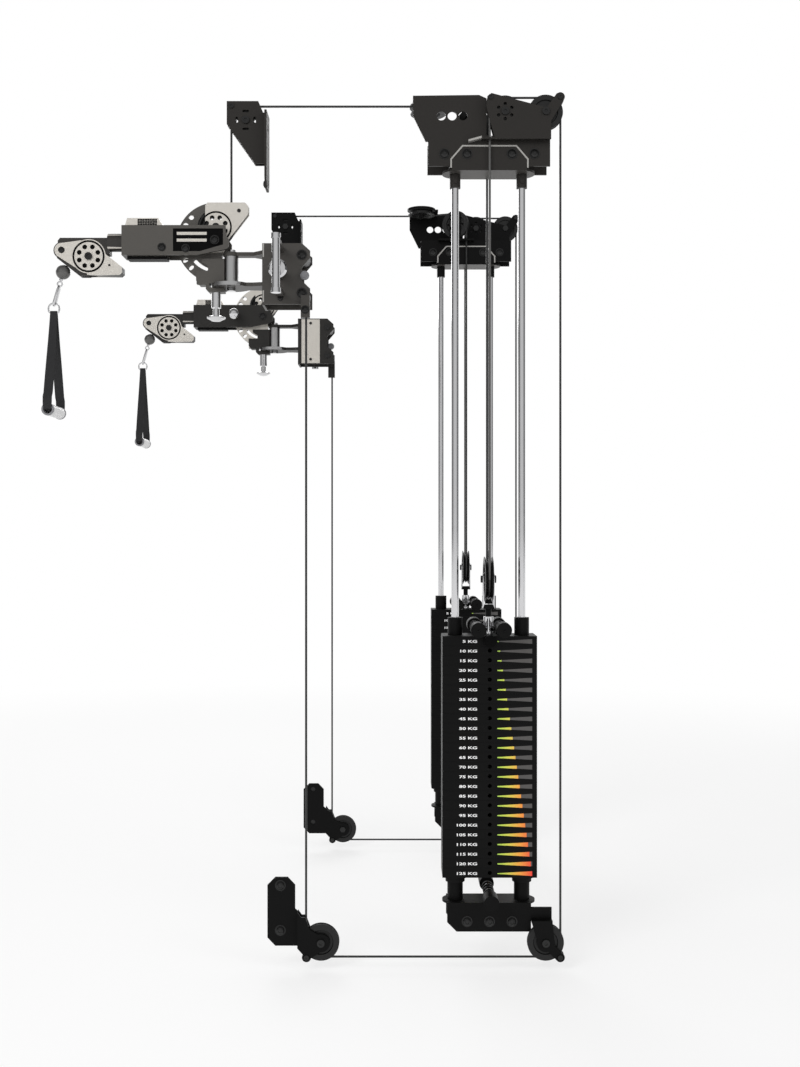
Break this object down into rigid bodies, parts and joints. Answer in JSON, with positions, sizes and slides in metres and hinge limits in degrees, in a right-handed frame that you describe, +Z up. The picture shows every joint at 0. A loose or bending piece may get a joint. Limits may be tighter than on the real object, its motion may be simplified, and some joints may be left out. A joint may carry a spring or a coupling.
{
  "type": "cable pulley attachment",
  "caption": "Mirrored pair of weight stack cable columns that bolt to a power rack, each with a sliding trolley, swivelling arm, rolling pulley head and strap handle.",
  "frame": {"origin": "middle of the pair's footprint, at its lowest point, which hangs a little above the floor", "axes": "+Z up, X from the user's side at minus X to the back, Y from the right unit at minus Y to the left unit"},
  "size_m": [1.3902, 1.516, 2.3106],
  "materials": {
    "bracket": "satin",
    "bracket_dark": "satin",
    "chrome": "polished",
    "weight": "matte",
    "rubber": "matte",
    "black_bolt": "satin",
    "cable": "satin",
    "arm_paint": "satin",
    "champagne": "brushed",
    "ball": "satin",
    "webbing": "woven",
    "black_plastic": "satin",
    "pulley": "satin"
  },
  "bodies": {
    "base": {"top_housings": "bracket", "rod_supports": "bracket", "front_top_brackets": "bracket", "base_brackets": "bracket_dark", "front_base_brackets": "bracket_dark", "guide_rods": "chrome", "resting_weights": "weight", "rubber_bumpers": "rubber", "pulley_axles": "black_bolt", "long_cables": "cable"},
    "right_trolley": {"right_trolley": "bracket"},
    "right_height_pin": {"right_height_pin": "chrome"},
    "right_swivel": {"right_swivel_bracket": "arm_paint"},
    "right_swivel_pin": {"right_swivel_pin": "chrome"},
    "right_arm": {"right_arm": "arm_paint", "right_arm_cable": "cable"},
    "right_pitch_pin": {"right_pitch_pin": "chrome"},
    "right_arm_release": {"right_arm_release": "champagne"},
    "right_head": {"right_head": "arm_paint"},
    "right_cable_stop": {"right_cable_stop": "ball"},
    "right_strap_handle": {"right_strap_handle": "webbing"},
    "right_lift": {"right_top_plate": "weight", "right_selector_rod": "chrome", "right_add_on_weights": "chrome"},
    "right_selector_pin": {"right_selector_pin": "black_plastic"},
    "right_floating_pulley": {"right_floating_pulley": "pulley"},
    "right_front_top_pulley": {"right_front_top_pulley": "pulley"},
    "right_idler_pulley": {"right_idler_pulley": "pulley"},
    "right_drop_pulley": {"right_drop_pulley": "pulley"},
    "right_lift_pulley": {"right_lift_pulley": "pulley"},
    "right_rear_top_pulley": {"right_rear_top_pulley": "pulley"},
    "right_rear_base_pulley": {"right_rear_base_pulley": "pulley"},
    "right_front_base_pulley": {"right_front_base_pulley": "pulley"},
    "right_pivot_pulley": {"right_pivot_pulley": "pulley"},
    "right_head_pulley": {"right_head_pulley": "pulley"},
    "left_trolley": {"left_trolley": "bracket"},
    "left_height_pin": {"left_height_pin": "chrome"},
    "left_swivel": {"left_swivel_bracket": "arm_paint"},
    "left_swivel_pin": {"left_swivel_pin": "chrome"},
    "left_arm": {"left_arm": "arm_paint", "left_arm_cable": "cable"},
    "left_pitch_pin": {"left_pitch_pin": "chrome"},
    "left_arm_release": {"left_arm_release": "champagne"},
    "left_head": {"left_head": "arm_paint"},
    "left_cable_stop": {"left_cable_stop": "ball"},
    "left_strap_handle": {"left_strap_handle": "webbing"},
    "left_lift": {"left_top_plate": "weight", "left_selector_rod": "chrome", "left_add_on_weights": "chrome"},
    "left_selector_pin": {"left_selector_pin": "black_plastic"},
    "left_floating_pulley": {"left_floating_pulley": "pulley"},
    "left_front_top_pulley": {"left_front_top_pulley": "pulley"},
    "left_idler_pulley": {"left_idler_pulley": "pulley"},
    "left_drop_pulley": {"left_drop_pulley": "pulley"},
    "left_lift_pulley": {"left_lift_pulley": "pulley"},
    "left_rear_top_pulley": {"left_rear_top_pulley": "pulley"},
    "left_rear_base_pulley": {"left_rear_base_pulley": "pulley"},
    "left_front_base_pulley": {"left_front_base_pulley": "pulley"},
    "left_pivot_pulley": {"left_pivot_pulley": "pulley"},
    "left_head_pulley": {"left_head_pulley": "pulley"}
  },
  "joints": [
    {"name": "right_trolley_slide", "type": "slide", "parent": "base", "child": "right_trolley", "axis": [0, 0, 1], "range_m": [-1.15, 0.05], "deforming": ["long_cables"]},
    {"name": "right_height_pin_pull", "type": "slide", "parent": "right_trolley", "child": "right_height_pin", "axis": [0, -1, 0], "range_m": [0, 0.025], "stiffness_N_per_m": 900, "springref_m": -0.005},
    {"name": "right_swivel_turn", "type": "hinge", "parent": "right_trolley", "child": "right_swivel", "pos_m": [-0.19809, -0.5825, 1.84278], "axis": [0, 0, 1], "range_deg": [-90, 90]},
    {"name": "right_swivel_pin_pull", "type": "slide", "parent": "right_swivel", "child": "right_swivel_pin", "axis": [0, 0, -1], "range_m": [0, 0.015], "stiffness_N_per_m": 900, "springref_m": -0.01},
    {"name": "right_arm_pitch", "type": "hinge", "parent": "right_swivel", "child": "right_arm", "pos_m": [-0.23809, -0.5825, 1.92278], "axis": [0, 1, 0], "range_deg": [-45, 45], "deforming": ["right_arm_cable"]},
    {"name": "right_pitch_pin_pull", "type": "slide", "parent": "right_arm", "child": "right_pitch_pin", "axis": [0, 1, 0], "range_m": [0, 0.015], "stiffness_N_per_m": 900, "springref_m": -0.008},
    {"name": "right_release_slide", "type": "slide", "parent": "right_arm", "child": "right_arm_release", "axis": [1, 0, 0], "range_m": [0, 0.012], "stiffness_N_per_m": 900, "springref_m": -0.006},
    {"name": "right_head_roll", "type": "hinge", "parent": "right_arm", "child": "right_head", "pos_m": [-0.50009, -0.5825, 1.92278], "axis": [-1, 0, 0], "range_deg": [-90, 90], "deforming": ["right_arm_cable"]},
    {"name": "right_cable_pull", "type": "slide", "parent": "right_head", "child": "right_cable_stop", "axis": [-0.5419, 0, -0.8404], "range_m": [0, 1.7], "deforming": ["right_arm_cable"]},
    {"name": "right_handle_swing", "type": "hinge", "parent": "right_cable_stop", "child": "right_strap_handle", "pos_m": [-0.67809, -0.5825, 1.75338], "axis": [0, 1, 0], "range_deg": [-60, 60]},
    {"name": "right_stack_lift", "type": "slide", "parent": "base", "child": "right_lift", "axis": [0, 0, 1], "range_m": [0, 0.85], "deforming": ["long_cables"]},
    {"name": "right_selector_pull", "type": "slide", "parent": "right_lift", "child": "right_selector_pin", "axis": [0, -1, 0], "range_m": [0, 0.09]},
    {"name": "right_floating_pulley_spin", "type": "hinge", "parent": "right_lift", "child": "right_floating_pulley", "pos_m": [0.49691, -0.5825, 1.01348], "axis": [1, 0, 0], "continuous": true},
    {"name": "right_front_top_pulley_spin", "type": "hinge", "parent": "base", "child": "right_front_top_pulley", "pos_m": [-0.15809, -0.5825, 2.25128], "axis": [0, 1, 0], "continuous": true},
    {"name": "right_idler_pulley_spin", "type": "hinge", "parent": "base", "child": "right_idler_pulley", "pos_m": [0.33498, -0.5425, 2.29128], "axis": [0, 0, 1], "continuous": true},
    {"name": "right_drop_pulley_spin", "type": "hinge", "parent": "base", "child": "right_drop_pulley", "pos_m": [0.45898, -0.54319, 2.25128], "axis": [0.3173, -0.9483, 0], "continuous": true},
    {"name": "right_pivot_pulley_spin", "type": "hinge", "parent": "right_swivel", "child": "right_pivot_pulley", "pos_m": [-0.23809, -0.5825, 1.96278], "axis": [0, 1, 0], "continuous": true},
    {"name": "right_head_pulley_spin", "type": "hinge", "parent": "right_head", "child": "right_head_pulley", "pos_m": [-0.58009, -0.5825, 1.88278], "axis": [0, 1, 0], "continuous": true},
    {"name": "right_lift_pulley_spin", "type": "hinge", "parent": "base", "child": "right_lift_pulley", "pos_m": [0.53691, -0.6345, 2.25678], "axis": [0, 1, 0], "continuous": true},
    {"name": "right_rear_top_pulley_spin", "type": "hinge", "parent": "base", "child": "right_rear_top_pulley", "pos_m": [0.64491, -0.6345, 2.25678], "axis": [0, 1, 0], "continuous": true},
    {"name": "right_rear_base_pulley_spin", "type": "hinge", "parent": "base", "child": "right_rear_base_pulley", "pos_m": [0.64491, -0.6345, 0.05018], "axis": [0, 1, 0], "continuous": true},
    {"name": "right_front_base_pulley_spin", "type": "hinge", "parent": "base", "child": "right_front_base_pulley", "pos_m": [0.04791, -0.6345, 0.05018], "axis": [0, 1, 0], "continuous": true},
    {"name": "left_trolley_slide", "type": "slide", "parent": "base", "child": "left_trolley", "axis": [0, 0, 1], "range_m": [-1.15, 0.05], "deforming": ["long_cables"]},
    {"name": "left_height_pin_pull", "type": "slide", "parent": "left_trolley", "child": "left_height_pin", "axis": [0, 1, 0], "range_m": [0, 0.025], "stiffness_N_per_m": 900, "springref_m": -0.005},
    {"name": "left_swivel_turn", "type": "hinge", "parent": "left_trolley", "child": "left_swivel", "pos_m": [-0.19809, 0.5825, 1.84278], "axis": [0, 0, -1], "range_deg": [-90, 90]},
    {"name": "left_swivel_pin_pull", "type": "slide", "parent": "left_swivel", "child": "left_swivel_pin", "axis": [0, 0, -1], "range_m": [0, 0.015], "stiffness_N_per_m": 900, "springref_m": -0.01},
    {"name": "left_arm_pitch", "type": "hinge", "parent": "left_swivel", "child": "left_arm", "pos_m": [-0.23809, 0.5825, 1.92278], "axis": [0, 1, 0], "range_deg": [-45, 45], "deforming": ["left_arm_cable"]},
    {"name": "left_pitch_pin_pull", "type": "slide", "parent": "left_arm", "child": "left_pitch_pin", "axis": [0, -1, 0], "range_m": [0, 0.015], "stiffness_N_per_m": 900, "springref_m": -0.008},
    {"name": "left_release_slide", "type": "slide", "parent": "left_arm", "child": "left_arm_release", "axis": [1, 0, 0], "range_m": [0, 0.012], "stiffness_N_per_m": 900, "springref_m": -0.006},
    {"name": "left_head_roll", "type": "hinge", "parent": "left_arm", "child": "left_head", "pos_m": [-0.50009, 0.5825, 1.92278], "axis": [-1, 0, 0], "range_deg": [-90, 90], "deforming": ["left_arm_cable"]},
    {"name": "left_cable_pull", "type": "slide", "parent": "left_head", "child": "left_cable_stop", "axis": [-0.5419, 0, -0.8404], "range_m": [0, 1.7], "deforming": ["left_arm_cable"]},
    {"name": "left_handle_swing", "type": "hinge", "parent": "left_cable_stop", "child": "left_strap_handle", "pos_m": [-0.67809, 0.5825, 1.75338], "axis": [0, 1, 0], "range_deg": [-60, 60]},
    {"name": "left_stack_lift", "type": "slide", "parent": "base", "child": "left_lift", "axis": [0, 0, 1], "range_m": [0, 0.85], "deforming": ["long_cables"]},
    {"name": "left_selector_pull", "type": "slide", "parent": "left_lift", "child": "left_selector_pin", "axis": [0, 1, 0], "range_m": [0, 0.09]},
    {"name": "left_floating_pulley_spin", "type": "hinge", "parent": "left_lift", "child": "left_floating_pulley", "pos_m": [0.49691, 0.5825, 1.01348], "axis": [1, 0, 0], "continuous": true},
    {"name": "left_front_top_pulley_spin", "type": "hinge", "parent": "base", "child": "left_front_top_pulley", "pos_m": [-0.15809, 0.5825, 2.25128], "axis": [0, 1, 0], "continuous": true},
    {"name": "left_idler_pulley_spin", "type": "hinge", "parent": "base", "child": "left_idler_pulley", "pos_m": [0.33498, 0.5425, 2.29128], "axis": [0, 0, 1], "continuous": true},
    {"name": "left_drop_pulley_spin", "type": "hinge", "parent": "base", "child": "left_drop_pulley", "pos_m": [0.45898, 0.54319, 2.25128], "axis": [-0.3173, -0.9483, 0], "continuous": true},
    {"name": "left_pivot_pulley_spin", "type": "hinge", "parent": "left_swivel", "child": "left_pivot_pulley", "pos_m": [-0.23809, 0.5825, 1.96278], "axis": [0, 1, 0], "continuous": true},
    {"name": "left_head_pulley_spin", "type": "hinge", "parent": "left_head", "child": "left_head_pulley", "pos_m": [-0.58009, 0.5825, 1.88278], "axis": [0, 1, 0], "continuous": true},
    {"name": "left_lift_pulley_spin", "type": "hinge", "parent": "base", "child": "left_lift_pulley", "pos_m": [0.53691, 0.6345, 2.25678], "axis": [0, 1, 0], "continuous": true},
    {"name": "left_rear_top_pulley_spin", "type": "hinge", "parent": "base", "child": "left_rear_top_pulley", "pos_m": [0.64491, 0.6345, 2.25678], "axis": [0, 1, 0], "continuous": true},
    {"name": "left_rear_base_pulley_spin", "type": "hinge", "parent": "base", "child": "left_rear_base_pulley", "pos_m": [0.64491, 0.6345, 0.05018], "axis": [0, 1, 0], "continuous": true},
    {"name": "left_front_base_pulley_spin", "type": "hinge", "parent": "base", "child": "left_front_base_pulley", "pos_m": [0.04791, 0.6345, 0.05018], "axis": [0, 1, 0], "continuous": true}
  ],
  "couplings": [
    {"joint": "right_floating_pulley_spin", "follows": "right_stack_lift", "rad_per_m": 19.231},
    {"joint": "right_front_top_pulley_spin", "follows": "right_stack_lift", "rad_per_m": -50},
    {"joint": "right_idler_pulley_spin", "follows": "right_stack_lift", "rad_per_m": -50},
    {"joint": "right_drop_pulley_spin", "follows": "right_stack_lift", "rad_per_m": 50},
    {"joint": "right_pivot_pulley_spin", "follows": "right_stack_lift", "rad_per_m": 50},
    {"joint": "right_head_pulley_spin", "follows": "right_stack_lift", "rad_per_m": -50},
    {"joint": "right_lift_pulley_spin", "follows": "right_trolley_slide", "rad_per_m": 25},
    {"joint": "right_rear_top_pulley_spin", "follows": "right_trolley_slide", "rad_per_m": 25},
    {"joint": "right_rear_base_pulley_spin", "follows": "right_trolley_slide", "rad_per_m": 25},
    {"joint": "right_front_base_pulley_spin", "follows": "right_trolley_slide", "rad_per_m": 25},
    {"joint": "right_cable_pull", "follows": "right_stack_lift", "ratio": 2},
    {"joint": "left_floating_pulley_spin", "follows": "left_stack_lift", "rad_per_m": -19.231},
    {"joint": "left_front_top_pulley_spin", "follows": "left_stack_lift", "rad_per_m": -50},
    {"joint": "left_idler_pulley_spin", "follows": "left_stack_lift", "rad_per_m": 50},
    {"joint": "left_drop_pulley_spin", "follows": "left_stack_lift", "rad_per_m": 50},
    {"joint": "left_pivot_pulley_spin", "follows": "left_stack_lift", "rad_per_m": 50},
    {"joint": "left_head_pulley_spin", "follows": "left_stack_lift", "rad_per_m": -50},
    {"joint": "left_lift_pulley_spin", "follows": "left_trolley_slide", "rad_per_m": 25},
    {"joint": "left_rear_top_pulley_spin", "follows": "left_trolley_slide", "rad_per_m": 25},
    {"joint": "left_rear_base_pulley_spin", "follows": "left_trolley_slide", "rad_per_m": 25},
    {"joint": "left_front_base_pulley_spin", "follows": "left_trolley_slide", "rad_per_m": 25},
    {"joint": "left_cable_pull", "follows": "left_stack_lift", "ratio": 2}
  ]
}
